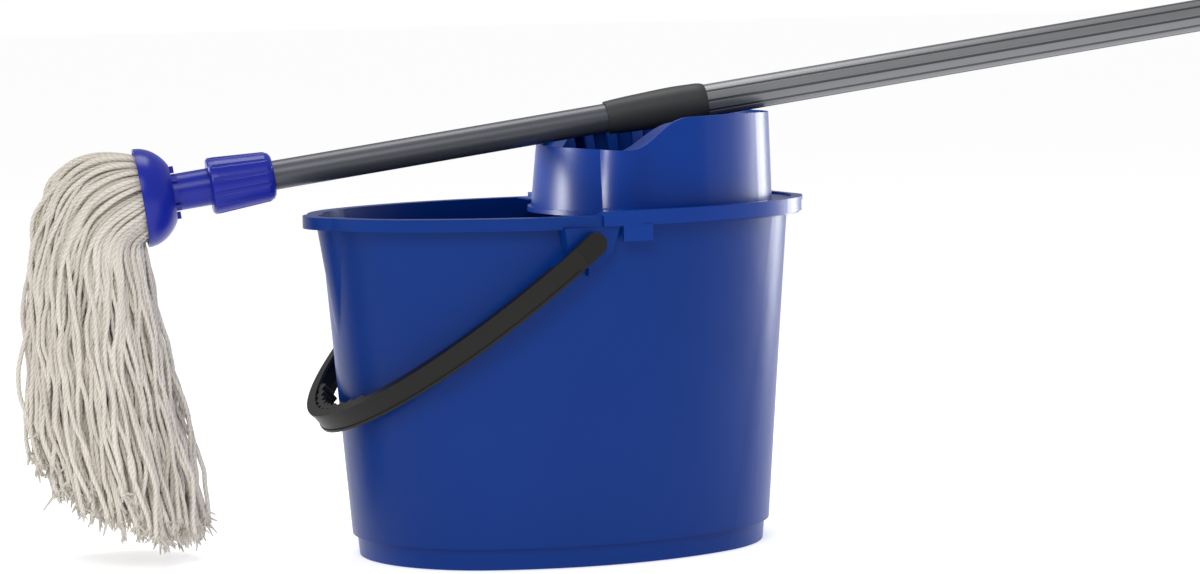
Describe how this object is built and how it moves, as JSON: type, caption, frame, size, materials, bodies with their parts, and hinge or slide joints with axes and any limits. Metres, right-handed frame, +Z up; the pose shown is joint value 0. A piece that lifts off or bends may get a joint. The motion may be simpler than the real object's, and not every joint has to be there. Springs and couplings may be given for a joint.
{
  "type": "mop and bucket with wringer",
  "caption": "String mop with a telescopic handle lying across an oval bucket with a plug-in slotted wringer and a folding carry handle.",
  "frame": {"origin": "centre of the bucket's base, on the floor", "axes": "+Z up, +X along the bucket's long axis towards the wringer and the handle's free end, +Y across the bucket"},
  "size_m": [1.2019, 0.3094, 0.4446],
  "materials": {
    "bucket_blue": "satin",
    "bail_black": "satin",
    "wringer_blue": "satin",
    "socket_blue": "satin",
    "disc_plastic": "matte",
    "screw_steel": "satin",
    "cotton_yarn": "matte",
    "thin_tube": "satin",
    "plug_plastic": "matte",
    "thick_tube": "satin",
    "collar_plastic": "matte"
  },
  "bodies": {
    "bucket": {"bucket_shell": "bucket_blue"},
    "bail": {"bail_handle": "bail_black"},
    "wringer": {"wringer_cowl": "wringer_blue", "wringer_basket": "wringer_blue"},
    "handle": {"outer_tube": "thick_tube", "lock_insert": "plug_plastic", "handle_cap": "collar_plastic"},
    "collar": {"lock_collar": "collar_plastic"},
    "mop": {"inner_tube": "thin_tube", "guide_plug": "plug_plastic", "mop_cup": "socket_blue", "socket_stem": "socket_blue", "yarn_disc": "disc_plastic", "disc_screw": "screw_steel", "mop_yarn": "cotton_yarn"},
    "sleeve": {"clamp_sleeve": "socket_blue"}
  },
  "joints": [
    {"name": "bail_swing", "type": "hinge", "parent": "bucket", "child": "bail", "pos_m": [-0.026, 0, 0.2375], "axis": [0, 1, 0], "range_deg": [0, 40]},
    {"name": "wringer_lift", "type": "slide", "parent": "bucket", "child": "wringer", "axis": [0, 0, 1], "range_m": [0, 0.2]},
    {"name": "handle_lift", "type": "slide", "parent": "wringer", "child": "handle", "axis": [0, 0, 1], "range_m": [0, 0.25]},
    {"name": "collar_twist", "type": "hinge", "parent": "handle", "child": "collar", "pos_m": [0.1013, -0.00453, 0.32995], "axis": [0.9682, -0.2058, 0.1425], "range_deg": [0, 90]},
    {"name": "handle_reach", "type": "slide", "parent": "handle", "child": "mop", "axis": [-0.9682, 0.2058, -0.1425], "range_m": [-0.03, 0.08]},
    {"name": "sleeve_twist", "type": "hinge", "parent": "mop", "child": "sleeve", "pos_m": [-0.22691, 0.06524, 0.28166], "axis": [0.9682, -0.2058, 0.1425], "range_deg": [0, 180]}
  ]
}
